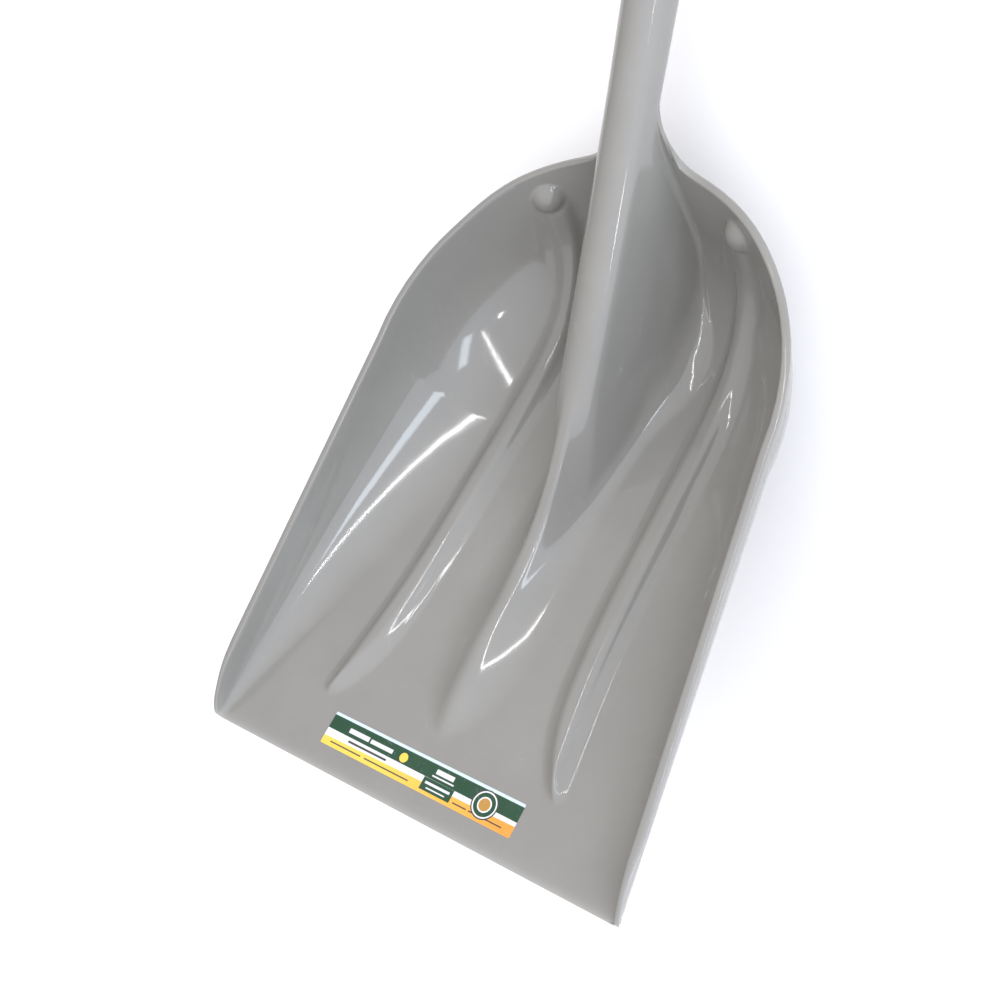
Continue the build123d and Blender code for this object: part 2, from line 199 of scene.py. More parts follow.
def crest(x):
    """Height of the middle ridge: a nose, a low run, then up along the top of the socket."""
    low = RIDGE_HEIGHT * np.sin(math.pi / 2 * nose(x, RIDGE_TIP, RIDGE_FULL)) ** 0.8
    top = SOCKET_RADIUS / math.cos(LIFT) - 0.6
    foot = AXIS_X - (AXIS_Z + top - RIDGE_HEIGHT) / math.tan(LIFT)
    return low + math.tan(LIFT) * RIDGE_BEND * np.logaddexp(0.0, (x - foot) / RIDGE_BEND)


def ridge(x, y, inset):
    """The middle ridge, or the hollow below it when inset is the wall."""
    point = nose(x, RIDGE_TIP, RIDGE_FULL)
    top = crest(x)
    width = 0.5 + (RIDGE_HALF_WIDTH - 0.5) * math.sqrt(1 - (1 - point) ** 2)
    flat = min(4.5, 0.3 * width)
    slope = top / (width - flat)
    drop = inset * math.hypot(1, slope) - inset
    low = soft_min(top + 0 * y, slope * (width - y) - drop, min(3.0, 0.5 * top + 0.1)) - inset
    low = low - 3.0 * (1 - point) ** 10
    side = (CROWN - inset) * FLANK_SLOPE / math.hypot(1, FLANK_SLOPE)
    inner = np.minimum(y, side)
    tall = top - CROWN + np.sqrt((CROWN - inset) ** 2 - inner**2)
    tall = tall - FLANK_SLOPE * np.maximum(y - side, 0.0)
    return low + (tall - low) * blend_step(x, *RIDGE_STEEPENS)


def ridge_under(x, y):
    """The hollow under the ridge; past the bore's bottom its roof is the socket's underside."""
    hollow = ridge(x, y, WALL)
    belly = AXIS_Z + (x - AXIS_X) * math.tan(LIFT) - (SOCKET_RADIUS + 1.0) / math.cos(LIFT)
    roof = soft_min(belly + 0 * y, belly + FLANK_SLOPE * (CROWN - WALL - y), 5.0)
    return hollow + (np.minimum(roof, hollow) - hollow) * blend_step(x, *CHANNEL_CLOSES)


def joined(x, y, lift, grow):
    """Height of a surface that follows the ridge, then the bowl, with a round corner between."""
    bowl, bowl_slope = plain_bowl(x, y, grow)
    lift_scale = np.hypot(1, np.gradient(lift, y))
    bowl_scale = np.hypot(1, bowl_slope)
    fillet = RIDGE_FILLET + (DEEP_FILLET - RIDGE_FILLET) * float(blend_step(x, *FILLET_DEEPENS))
    fillet = fillet + (WEB_FILLET - DEEP_FILLET) * float(blend_step(x, *FILLET_TIGHTENS))
    fillet = fillet * float(np.clip(crest(x) / RIDGE_FILLET, 0.02, 1.0))
    low = np.maximum(lift, bowl)
    high = low + fillet * 12
    for _ in range(36):
        middle = (low + high) / 2
        gap = soft_min((middle - lift) / lift_scale, (middle - bowl) / bowl_scale, fillet)
        low, high = np.where(gap < 0, middle, low), np.where(gap < 0, high, middle)
    return low


def rib_line(x):
    """The side rib's distance from the middle: spread at the front, straight further back."""
    return RIB_SPACING + RIB_SPREAD * np.exp(-np.maximum(x - RIB_TIP, 0.0) / RIB_STRAIGHTENS)


def knob_centre():
    """Where the knob at the top of a rib sits on the back wall."""
    arc_end = CORNER_AT_BACK * (1 - math.cos(ARC))
    far = floor_edge(BACK_CENTRE) + CORNER_AT_BACK * math.sin(ARC)
    far = far + (KNOB_CENTRE_HEIGHT - arc_end) * math.tan(LEAN)
    x = BACK_CENTRE + math.sqrt(far**2 - KNOB_HALF_SPACING**2)
    return x, KNOB_HALF_SPACING, KNOB_CENTRE_HEIGHT


KNOB = knob_centre()


def bead(x, y, z, squeeze, inset):
    """How far a side rib and the knob at its top stand out of the bowl."""
    point = nose(x, RIB_TIP, RIB_FULL)
    width = RIB_HALF_WIDTH - RIB_THINNED * blend_step(x, *RIB_THINS)
    width = width * np.sqrt(1 - (1 - point) ** 2)
    width = np.maximum(width - 0.6 * inset, 0.0)
    off = np.abs(y - rib_line(x)) / squeeze
    fade = (1 - RIB_LOWERED * blend_step(z, *RIB_LOWERS)) * (1 - blend_step(z, *RIB_ENDS))
    top = np.minimum(RIB_HEIGHT - 0.4 * inset, RIB_FLANK * width) * fade
    rise = soft_min(top, RIB_FLANK * (width - off), 3.0)
    foot = 1.3 * fade * np.clip(width / 6.0, 0.0, 1.0) * np.exp(-(((off - width) / 2.6) ** 2))
    rise = np.maximum(rise, 0.0) + foot
    away = np.sqrt((x - KNOB[0]) ** 2 + (y - KNOB[1]) ** 2 + (z - KNOB[2]) ** 2)
    dome = KNOB_HEIGHT * np.clip(1 - (away / (KNOB_RADIUS - 0.6 * inset)) ** 2, 0.0, 1.0) ** 0.8
    return -soft_min(-rise, -dome, 2.0 * np.clip(np.minimum(rise, dome), 0.001, 1.0))


def evenly(line, count, weight=None):
    """count + 1 points along a polyline, evenly or in proportion to a weight at its points."""
    steps = np.linalg.norm(np.diff(line, axis=0), axis=1)
    if weight is not None:
        steps = steps * (weight[1:] + weight[:-1]) / 2
    at = np.concatenate(([0.0], np.cumsum(steps)))
    wanted = np.linspace(0.0, at[-1], count + 1)
    return np.stack([np.interp(wanted, at, line[:, k]) for k in range(3)], axis=1)


def wall_line(base, angle, start, end, grow, inset, count):
    """Points up the bowl at one station, between two arc lengths, with the ribs' beads."""
    out, height, tilt = climb(np.linspace(start, end, 900), corner(base), grow)
    far = floor_edge(base) + out
    across = np.array((math.cos(angle), math.sin(angle)))
    x = (base if angle == SQUARE else BACK_CENTRE) + far * across[0]
    y = far * across[1]
    normal = np.stack((-np.sin(tilt) * across[0], -np.sin(tilt) * across[1], np.cos(tilt)), axis=1)
    rise = bead(x, y, height, np.sqrt(1 - normal[:, 1] ** 2), inset)
    line = np.stack((x, y, height), axis=1) + normal * rise[:, None]
    crowd = 1 + 1.6 * (np.abs(y - rib_line(x)) < 1.5 * RIB_HALF_WIDTH)
    return evenly(line, count, crowd)


def turned_rim(base, angle, run):
    """The turned rim at one station, from its inner edge down to the wall outside, and its depth."""
    fade = float(blend_step(base, *RIM_WIDENS))
    out, height, tilt = (float(v) for v in climb(np.array(run), corner(base)))
    flat = np.array((math.cos(angle), math.sin(angle), 0.0))
    centre = base if angle == SQUARE else BACK_CENTRE
    inner = flat * (floor_edge(base) + out) + np.array((centre, 0.0, height))
    outward = flat * math.sin(tilt) + np.array((0.0, 0.0, -math.cos(tilt)))
    upward = flat * math.cos(tilt) + np.array((0.0, 0.0, math.sin(tilt)))
    reach = WALL + RIM_REACH * fade
    depth = RIM_EDGE + (RIM_DEPTH - RIM_EDGE) * fade
    turn = np.linspace(0, SQUARE, 6)
    shape = [(RIM_EDGE * (1 - math.cos(a)), RIM_EDGE * (math.sin(a) - 1)) for a in turn]
    shape += [(reach / 2, 0.15)]
    shape += [(reach - RIM_EDGE * (1 - math.sin(a)), RIM_EDGE * (math.cos(a) - 1)) for a in turn]
    shape += [(reach, -depth), (reach - 0.3 * fade, -depth - 0.5)]
    shape += [(WALL + 0.2 * fade, -depth - 0.6), (WALL, -depth - 1.0)]
    line = np.array([inner + outward * a + upward * b for a, b in shape])
    return evenly(line, COUNTS["rim"]), depth + 1.0


def rim_run(base, angle, start):
    """Arc length at which the wall reaches the rim."""
    run = np.linspace(max(start, 0.0), corner(base) * ARC + 170.0, 8000)
    out, height, _ = climb(run, corner(base))
    far = floor_edge(base) + out
    x = (base if angle == SQUARE else BACK_CENTRE) + far * math.cos(angle)
    over = height > rim_height(x, far * math.sin(angle)) + 1e-6
    return run[int(np.argmax(over))]


def half_section(base, angle, landing):
    """A half section: ridge, bowl, rim, outside and channel, from the crest to the hollow's roof."""
    side = landing_at(landing)
    y = np.linspace(0.0, side, 1200)
    middle = np.full_like(y, landing)
    top = np.stack((middle, y, joined(landing, y, ridge(landing, y, 0.0), 0.0)), axis=1)
    under = np.stack((middle, y, joined(landing, y, ridge_under(landing, y), WALL)), axis=1)
    start = run_back(landing, side, 0.0)
    end = rim_run(base, angle, start)
    rim, depth = turned_rim(base, angle, end)
    inner = wall_line(base, angle, start, end - RIM_EDGE, 0.0, 0.0, COUNTS["bowl"])
    below = run_back(landing, side, WALL)
    outside = wall_line(base, angle, below, end - depth, WALL, WALL, COUNTS["outside"])
    channel = evenly(under, COUNTS["channel"])[::-1]
    ridge_top = evenly(top, COUNTS["ridge"])
    return np.concatenate((ridge_top, inner[1:], rim[1:], outside[::-1][1:], channel[1:]))


def stations():
    """Base, angle and landing of every section of the bowl, from the lip to the socket."""
    spans = ((7.0, 16.0, 1.0), (16.0, 46.0, 2.5), (46.0, 110.0, 2.4), (110.0, BACK_CENTRE, 4.2))
    front = np.concatenate([[0.0, 0.5, 1.2, 2.5, 4.5, 6.0]] + [np.arange(*span) for span in spans])
    made = [(x, SQUARE, x) for x in front]
    x = np.linspace(BACK_CENTRE, BACK_CENTRE + 180.0, 4000)
    height = np.array([plain_bowl(v, np.array((landing_at(v),)), 0.0)[0][0] for v in x])
    length = np.concatenate(([0.0], np.cumsum(np.hypot(np.diff(x), np.diff(height)))))
    last = length[int(np.argmax(height > WEB_STARTS))]
    knob_landing = BACK_CENTRE + LANDING * (KNOB[0] - BACK_CENTRE) / KNOB[1]
    crowd = 1 + 1.6 * (np.abs(x - knob_landing) < 24.0)
    paced = np.concatenate(([0.0], np.cumsum(np.diff(length) * crowd[1:])))
    last = float(np.interp(last, length, paced))
    for at in np.linspace(0.0, last, round(last / 5.0)):
        landing = float(np.interp(at, paced, x))
        made.append((BACK_CENTRE, math.atan2(landing_at(landing), landing - BACK_CENTRE), landing))
    return made


def on_socket(s, clock, radius):
    """Points round the socket at distance s along it; clock 0 is its top, half a turn its bottom."""
    across = radius * np.sin(clock)
    away = radius * np.cos(clock)
    x = AXIS_X + s * math.cos(LIFT) - away * math.sin(LIFT)
    z = AXIS_Z + s * math.sin(LIFT) + away * math.cos(LIFT)
    return np.stack((x, across, z), axis=1)


def socket_clock(last):
    """Angle round the socket at which each point of the bowl's last section arrives."""
    marks = np.cumsum([0] + list(COUNTS.values()))
    turn = np.radians((0.0, 93.0, 103.0, 112.0, 128.0, 180.0))
    clock = np.interp(np.arange(marks[-1] + 1), marks, turn)
    out, up = last[:, 0] - AXIS_X, last[:, 2] - AXIS_Z
    own = np.arctan2(last[:, 1], up * math.cos(LIFT) - out * math.sin(LIFT))
    shoulder = int(np.argmax(own > SHOULDER))
    clock[:shoulder] = own[:shoulder]
    clock[shoulder : marks[1] + 1] = np.linspace(own[shoulder], clock[marks[1]], marks[1] + 1 - shoulder)
    return clock


def web(last, before, clock):
    """Sections that carry the end of the bowl over into the round socket."""
    end = on_socket(WEB_ENDS, clock, SOCKET_RADIUS + SOCKET_TAPER * WEB_ENDS)
    reach = np.linalg.norm(end - last, axis=1)[:, None] * 0.9
    along = np.array((math.cos(LIFT), 0.0, math.sin(LIFT)))
    moved = last - before
    moved = moved / np.linalg.norm(moved, axis=1)[:, None]
    total = len(clock) - 1
    index = np.arange(total + 1)
    near = blend_step(index, 0.35 * COUNTS["ridge"], 0.95 * COUNTS["ridge"])
    tail = COUNTS["channel"]
    near = near * (1 - blend_step(index, total - 0.8 * tail, total - 0.2 * tail))
    leave = along + (moved - along) * near[:, None]
    leave = leave / np.linalg.norm(leave, axis=1)[:, None] * reach
    arrive = along * reach
    made = []
    for t in np.linspace(0.0, 1.0, WEB_STEPS + 1)[1:]:
        u = 1 - t
        ends = last * (u * u * (1 + 2 * t)) + end * (t * t * (3 - 2 * t))
        made.append(ends + leave * (t * u * u) - arrive * (t * t * u))
    return made


def socket_rings(clock):
    """The socket's outside up to its collar, its mouth, and its bore down to the bottom."""
    def tube(s, more=0.0):
        return on_socket(s, clock, SOCKET_RADIUS + SOCKET_TAPER * s + more)

    rings = [tube(s) for s in np.linspace(WEB_ENDS, COLLAR_START, 13)[1:]]
    rings += [tube(COLLAR_START + 0.9 * t, COLLAR * (t * t * (3 - 2 * t))) for t in (0.3, 0.6, 1.0)]
    turn = np.linspace(0, SQUARE, 5)
    edge, start = SOCKET_EDGE, SOCKET_MOUTH - SOCKET_EDGE
    inside = edge - SOCKET_WALL
    rings += [tube(start + edge * math.sin(a), COLLAR - edge + edge * math.cos(a)) for a in turn]
    rings += [tube(SOCKET_MOUTH, inside)]
    rings += [tube(start + edge * math.cos(a), inside - edge * math.sin(a)) for a in turn[1:]]
    rings += [tube(s, -SOCKET_WALL) for s in np.linspace(SOCKET_MOUTH - 6.0, BORE_BOTTOM, 12)]
    return rings


def scoop_sections():
    """All half sections of the scoop as one array, from the lip to the bottom of the bore."""
    made = [half_section(*station) for station in stations()]
    bottom = COUNTS["ridge"] + COUNTS["bowl"] + COUNTS["rim"]
    for section, share in zip(made[:3], (1.0, 0.3, 0.0)):
        section[:bottom, 2] -= LIP_BEVEL * share
        section[bottom:, 2] += LIP_BEVEL * share
    clock = socket_clock(made[-1])
    made += web(made[-1], made[-2], clock)
    made += socket_rings(clock)
    return np.array(made)


def closed_from_halves(sections):
    """Vertices and faces of the closed shape whose right half is given section by section."""
    rows, points, _ = sections.shape
    sections[:, (0, -1), 1] = 0.0
    mirrored = sections[:, 1:-1] * (1.0, -1.0, 1.0)
    loop = np.concatenate((sections, mirrored[:, ::-1]), axis=1)
    size = loop.shape[1]
    index = np.arange(rows * size).reshape(rows, size)
    after = np.roll(index, -1, axis=1)
    quads = np.stack((index[:-1], after[:-1], after[1:], index[1:]), axis=-1).reshape(-1, 4)
    return loop.reshape(-1, 3), quads.tolist() + [index[0][::-1].tolist(), index[-1].tolist()]


def plain_mesh(name, points, faces=()):
    """A new mesh from points in metres."""
    mesh = bpy.data.meshes.new(name)
    mesh.from_pydata(np.asarray(points).tolist(), [], list(faces))
    return mesh


def shown(name, mesh):
    """A new object of a mesh in the row frame, with its faces turned outwards."""
    made = bpy.data.objects.new(name, mesh)
    bpy.context.scene.collection.objects.link(made)
    form = bmesh.new()
    form.from_mesh(mesh)
    bmesh.ops.recalc_face_normals(form, faces=form.faces)
    if form.calc_volume(signed=True) < 0:
        bmesh.ops.reverse_faces(form, faces=form.faces)
    form.to_mesh(mesh)
    form.free()
    mesh.shade_smooth()
    return made


# ---------------------------------------------------------------- finishes
def node(tree, kind, inputs=None, **settings):
    """One node with its settings, and its inputs given as values or as sockets to link."""
    made = tree.nodes.new(kind)
    for name, value in settings.items():
        setattr(made, name, value)
    for name, value in (inputs or {}).items():
        if isinstance(value, bpy.types.NodeSocket):
            tree.links.new(value, made.inputs[name])
        else:
            made.inputs[name].default_value = value
    return made


def math_node(tree, operation, first, second=0.0, third=0.0, clamp=False):
    """The result socket of a Math node."""
    inputs = {0: first, 1: second, 2: third}
    return node(tree, "ShaderNodeMath", inputs, operation=operation, use_clamp=clamp).outputs[0]


def times(tree, first, second, clamp=False):
    """The product of two numbers."""
    return math_node(tree, "MULTIPLY", first, second, clamp=clamp)


def plus_share(tree, mask, share, base):
    """A base number, and a share more where a mask is."""
    return math_node(tree, "MULTIPLY_ADD", mask, share, base)


def vector_math(tree, operation, *values):
    """A Vector Math node."""
    return node(tree, "ShaderNodeVectorMath", dict(enumerate(values)), operation=operation)


def parts_of(tree, vector):
    """The x, y and z sockets of a vector."""
    return node(tree, "ShaderNodeSeparateXYZ", {0: vector}).outputs


def vector_of(tree, x, y, z):
    """The vector with these x, y and z."""
    return node(tree, "ShaderNodeCombineXYZ", {0: x, 1: y, 2: z}).outputs[0]


def ramp(tree, value, low, high, start=0.0, end=1.0):
    """A value carried from one range to another, and held at its ends."""
    return node(tree, "ShaderNodeMapRange", {0: value, 1: low, 2: high, 3: start, 4: end}).outputs[0]


def noise(tree, vector, scale, detail, roughness=0.5):
    """A noise texture's factor and colour."""
    inputs = {"Vector": vector, "Scale": scale, "Detail": detail, "Roughness": roughness}
    return node(tree, "ShaderNodeTexNoise", inputs).outputs


def mixed(tree, mask, first, second):
    """The colour first where the mask is 0 and second where it is 1."""
    return node(tree, "ShaderNodeMix", {0: mask, 6: first, 7: second}, data_type="RGBA").outputs[2]


def stained(tree, colour, mask, share, stain):
    """A colour with a share of a stain over it, where a mask is."""
    return mixed(tree, times(tree, mask, share), colour, stain)


def between(tree, value, low, high, soft):
    """1 where a value lies between two limits, with soft edges."""
    up = ramp(tree, value, low - soft, low + soft)
    return times(tree, up, ramp(tree, value, high - soft, high + soft, 1.0, 0.0))


def effect(name, inputs, outputs, kind="ShaderNodeTree"):
    """A new node group with its named sockets, and its input and output nodes."""
    tree = bpy.data.node_groups.new(name, kind)
    for label, what, value in inputs:
        socket = tree.interface.new_socket(label, in_out="INPUT", socket_type="NodeSocket" + what)
        if value is not None:
            socket.default_value = value
    for label, what in outputs:
        tree.interface.new_socket(label, in_out="OUTPUT", socket_type="NodeSocket" + what)
    return tree, tree.nodes.new("NodeGroupInput"), tree.nodes.new("NodeGroupOutput")


def scratch_effect():
    """Fine scratches that run mostly one way, from sliding grain and from handling."""
    sockets = [("Vector", "Vector", None), ("Scale", "Float", 60.0), ("Amount", "Float", 0.5)]
    tree, given, out = effect("handling_scratches", sockets, [("Mask", "Float")])
    vector, scale, amount = given.outputs[:3]
    total = None
    for turn, stretch in ((0.12, 22.0), (-0.5, 14.0), (1.1, 17.0)):
        lined = vector
        for axis in ("Y_AXIS", "Z_AXIS"):
            inputs = {"Vector": lined, "Angle": turn}
            lined = node(tree, "ShaderNodeVectorRotate", inputs, rotation_type=axis).outputs[0]
        narrow = vector_math(tree, "MULTIPLY", lined, (1.0, stretch, stretch)).outputs[0]
        line = ramp(tree, noise(tree, narrow, scale, 3.0)[0], 0.66, 0.74)
        total = line if total is None else math_node(tree, "MAXIMUM", total, line)
    patch = ramp(tree, noise(tree, vector, 9.0, 2.0)[0], 0.4, 0.7)
    kept = times(tree, total, patch)
    tree.links.new(times(tree, kept, amount, clamp=True), out.inputs[0])
    return tree


def dust_effect():
    """A thin uneven film of dust with a few specks."""
    sockets = [("Vector", "Vector", None), ("Scale", "Float", 14.0), ("Amount", "Float", 0.5)]
    tree, given, out = effect("settled_dust", sockets, [("Mask", "Float"), ("Specks", "Float")])
    vector, scale, amount = given.outputs[:3]
    spread = ramp(tree, noise(tree, vector, scale, 6.0, 0.7)[0], 0.42, 0.72)
    tree.links.new(times(tree, spread, amount, clamp=True), out.inputs[0])
    cells = node(tree, "ShaderNodeTexVoronoi", {"Vector": vector, "Scale": 90.0}, feature="F1")
    speck = ramp(tree, cells.outputs[0], 0.05, 0.03)
    tree.links.new(times(tree, speck, amount, clamp=True), out.inputs[1])
    return tree


def skin_effect():
    """The faint ripple and pebble of a moulded or sprayed surface, as a height."""
    sockets = [("Vector", "Vector", None), ("Ripple", "Float", 25.0), ("Pebble", "Float", 700.0)]
    tree, given, out = effect("surface_skin", sockets, [("Height", "Float"), ("Mottle", "Float")])
    vector, ripple, pebble = given.outputs[:3]
    wide = noise(tree, vector, ripple, 2.0)[0]
    fine = noise(tree, vector, pebble, 1.0)[0]
    tree.links.new(plus_share(tree, fine, 0.06, wide), out.inputs[0])
    tree.links.new(wide, out.inputs[1])
    return tree


def wood_effect():
    """Straight grain along X: growth bands and pores."""
    sockets = [("Vector", "Vector", None), ("Bands", "Float", 130.0), ("Pores", "Float", 900.0)]
    tree, given, out = effect("straight_grain", sockets, [("Grain", "Float"), ("Pore", "Float")])
    vector, bands, pores = given.outputs[:3]
    along = vector_math(tree, "MULTIPLY", vector, (0.05, 1.0, 1.0)).outputs[0]
    bend = noise(tree, along, 45.0, 3.0)[1]
    sway = (0.006, 0.006, 0.006)
    pushed = vector_math(tree, "MULTIPLY_ADD", bend, sway, along).outputs[0]
    rings = noise(tree, pushed, bands, 4.0, 0.6)[0]
    tree.links.new(ramp(tree, rings, 0.35, 0.68), out.inputs[0])
    thin = vector_math(tree, "MULTIPLY", vector, (0.03, 1.0, 1.0)).outputs[0]
    tree.links.new(ramp(tree, noise(tree, thin, pores, 2.0)[0], 0.6, 0.72), out.inputs[1])
    return tree


SCRATCHES = scratch_effect()
DUST = dust_effect()
SKIN = skin_effect()
GRAIN = wood_effect()
DUST_COLOUR = (0.52, 0.49, 0.43, 1)


def finish(name):
    """A new material, its tree, its shader and its object coordinates."""
    made = bpy.data.materials.new(name)
    made.use_nodes = True
    tree = made.node_tree
    place = tree.nodes.new("ShaderNodeTexCoord").outputs["Object"]
    return made, tree, tree.nodes["Principled BSDF"], place


def placed(tree, group, vector, **values):
    """The output sockets of one use of a shared effect, with its own values."""
    made = tree.nodes.new("ShaderNodeGroup")
    made.node_tree = group
    tree.links.new(vector, made.inputs["Vector"])
    for key, value in values.items():
        made.inputs[key.capitalize()].default_value = value
    return made.outputs


def dressed(tree, shader, colour, rough, height=None, distance=0.0, strength=0.0):
    """Links colour, roughness and, where there is a height, the normal that it gives."""
    tree.links.new(colour, shader.inputs["Base Color"])
    tree.links.new(rough, shader.inputs["Roughness"])
    if height is not None:
        inputs = {"Height": height, "Distance": distance, "Strength": strength}
        normal = node(tree, "ShaderNodeBump", inputs).outputs[0]
        tree.links.new(normal, shader.inputs["Normal"])


def grey_plastic():
    """Glossy moulded plastic with flow mottle, sliding scratches and a pale worn lip."""
    made, tree, shader, place = finish("grey_abs")
    skin = placed(tree, SKIN, place, ripple=16.0, pebble=620.0)
    dust = placed(tree, DUST, place, scale=11.0, amount=0.5)
    scratch = placed(tree, SCRATCHES, place, scale=14.0, amount=0.6)[0]
    worn = node(tree, "ShaderNodeAttribute", attribute_name="wear").outputs["Fac"]
    tone = ramp(tree, skin["Mottle"], 0.3, 0.7)
    colour = mixed(tree, tone, (0.234, 0.231, 0.216, 1), (0.246, 0.243, 0.228, 1))
    colour = stained(tree, colour, dust["Mask"], 0.12, DUST_COLOUR)
    colour = stained(tree, colour, dust["Specks"], 0.35, (0.23, 0.21, 0.18, 1))
    colour = stained(tree, colour, scratch, 0.10, (0.6, 0.6, 0.58, 1))
    colour = stained(tree, colour, worn, 0.35, (0.55, 0.54, 0.51, 1))
    rough = plus_share(tree, dust["Mask"], 0.04, 0.07)
    rough = plus_share(tree, scratch, 0.12, rough)
    rough = plus_share(tree, worn, 0.18, rough)
    dressed(tree, shader, colour, rough, skin["Height"], 0.0006, 0.22)
    shader.inputs["IOR"].default_value = 1.53
    return made


def stand_for(made, body, replaced):
    """Ties a piece to its body and hides the CAD node that it stands for."""
    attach(made, body)
    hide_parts(replaced)


LIP_WEAR = 3.0
points, faces = closed_from_halves(scoop_sections())
scoop = shown("moulded_scoop", plain_mesh("moulded_scoop", to_row(points), faces))
worn = scoop.data.attributes.new("wear", "FLOAT", "POINT")
worn.data.foreach_set("value", np.exp(-np.maximum(points[:, 0], 0.0) / LIP_WEAR).astype(np.float32))
scoop.data.materials.append(grey_plastic())
stand_for(scoop, "shovel", "scoop_blade")


# ---------------------------------------------------------------- label
LABEL_FRONT, LABEL_DEPTH, LABEL_WIDTH, LABEL_THICK = 18.1, 25.6, 176.8, 0.15
LABEL_CORNER, LABEL_EDGE = 1.0, 0.04
DEEP_GREEN = (0.008, 0.056, 0.025, 1)
WHITE = (0.76, 0.77, 0.79, 1)
PALE_BLUE = (0.58, 0.68, 0.74, 1)
YELLOW = (0.84, 0.58, 0.085, 1)
ORANGE = (0.83, 0.31, 0.045, 1)
INK = (0.035, 0.045, 0.04, 1)
AMBER = (0.45, 0.24, 0.05, 1)

# Printed bars that stand for lines of print: left, right, bottom and top, as shares of the
# label's width and depth, then colour.
PRINTED_BARS = (
    (0.105, 0.215, 0.60, 0.74, WHITE),
    (0.225, 0.345, 0.60, 0.72, WHITE),
    (0.125, 0.335, 0.335, 0.40, INK),
    (0.045, 0.215, 0.120, 0.160, INK),
    (0.235, 0.475, 0.120, 0.160, INK),
    (0.575, 0.665, 0.66, 0.80, WHITE),
    (0.565, 0.675, 0.555, 0.595, WHITE),
    (0.705, 0.775, 0.140, 0.180, INK),
    (0.785, 0.950, 0.140, 0.180, INK),
    (0.535, 0.690, 0.100, 0.470, DEEP_GREEN),
    (0.550, 0.675, 0.300, 0.370, WHITE),
    (0.565, 0.660, 0.180, 0.215, WHITE),
)
# Plain round marks: centre, then each ring's radius as a share of the depth, and its colour.
ROUND_MARKS = (
    ((0.405, 0.66), ((0.14, YELLOW),)),
    ((0.838, 0.50), ((0.42, INK), (0.38, WHITE), (0.34, DEEP_GREEN), (0.22, WHITE), (0.18, AMBER))),
)


def label_mesh():
    """A thin sheet with round corners, and a UV map over its width and depth."""
    half_depth, half_width = LABEL_DEPTH / 2, LABEL_WIDTH / 2
    outline = []
    for side, end, start in ((1, 1, 0), (-1, 1, 90), (-1, -1, 180), (1, -1, 270)):
        for turn in np.radians(np.linspace(start, start + 90, 7)):
            x = side * (half_depth - LABEL_CORNER) + LABEL_CORNER * math.cos(turn)
            y = end * (half_width - LABEL_CORNER) + LABEL_CORNER * math.sin(turn)
            outline.append((x, y))
    outline = np.array(outline)
    inner = outline * (1 - LABEL_EDGE / half_depth, 1 - LABEL_EDGE / half_width)
    count = len(outline)
    rings = []
    for flat, z in ((outline, 0.0), (outline, LABEL_THICK - LABEL_EDGE), (inner, LABEL_THICK)):
        rings.append(np.column_stack((flat + (LABEL_FRONT + half_depth, 0.0), np.full(count, z))))
    faces = [list(range(count))[::-1], [2 * count + k for k in range(count)]]
    for low in (0, count):
        for k in range(count):
            after = (k + 1) % count
            faces.append((low + k, low + after, low + count + after, low + count + k))
    points = np.concatenate(rings)
    mesh = plain_mesh("printed_label", to_row(points), faces)
    layer = mesh.uv_layers.new(name="print")
    across = 0.5 - points[:, 1] / LABEL_WIDTH
    up = (points[:, 0] - LABEL_FRONT) / LABEL_DEPTH
    for loop in mesh.loops:
        layer.data[loop.index].uv = (across[loop.vertex_index], up[loop.vertex_index])
    return mesh


def from_centre(tree, place, centre):
    """Distance from a round mark's centre, as a share of the label's depth."""
    ratio = LABEL_WIDTH / LABEL_DEPTH
    shift = (-centre[0] * ratio, -centre[1], 0.0)
    inputs = {"Vector": place, "Location": shift, "Scale": (ratio, 1.0, 1.0)}
    moved = node(tree, "ShaderNodeMapping", inputs).outputs[0]
    return vector_math(tree, "LENGTH", moved).outputs["Value"]


def printed_vinyl():
    """Gloss label: coloured bands, with plain bars and round marks in place of print."""
    made, tree, shader, place = finish("printed_vinyl")
    chart = node(tree, "ShaderNodeUVMap", uv_map="print").outputs[0]
    u, v = parts_of(tree, chart)[:2]
    low_edge = plus_share(tree, u, 0.09, 0.25)
    high_edge = plus_share(tree, u, -0.03, 0.49)
    colour = mixed(tree, ramp(tree, u, 0.3, 0.95), YELLOW, ORANGE)
    for edge, band in ((low_edge, WHITE), (high_edge, DEEP_GREEN), (0.91, PALE_BLUE)):
        colour = mixed(tree, math_node(tree, "GREATER_THAN", v, edge), colour, band)
    for left, right, bottom, top, ink in PRINTED_BARS:
        wide = between(tree, u, left, right, 0.001)
        colour = mixed(tree, times(tree, wide, between(tree, v, bottom, top, 0.008)), colour, ink)
    for centre, rings in ROUND_MARKS:
        away = from_centre(tree, chart, centre)
        for radius, ink in rings:
            colour = mixed(tree, math_node(tree, "LESS_THAN", away, radius), colour, ink)
    scratch = placed(tree, SCRATCHES, place, scale=16.0, amount=0.8)[0]
    dust = placed(tree, DUST, place, scale=40.0, amount=0.5)
    colour = stained(tree, colour, scratch, 0.10, WHITE)
    colour = stained(tree, colour, dust["Mask"], 0.05, DUST_COLOUR)
    dressed(tree, shader, colour, plus_share(tree, scratch, 0.2, 0.26))
    return made


label = shown("printed_label", label_mesh())
label.data.shade_flat()
label.data.materials.append(printed_vinyl())
stand_for(label, "shovel", "blade_label")


# ---------------------------------------------------------------- wood and steel
ALONG_HANDLE = math.cos(LIFT) * BACK + math.sin(LIFT) * UP
ABOVE_HANDLE = math.cos(LIFT) * UP - math.sin(LIFT) * BACK
HANDLE_TILT = math.atan2(ALONG_HANDLE[2], ALONG_HANDLE[0])


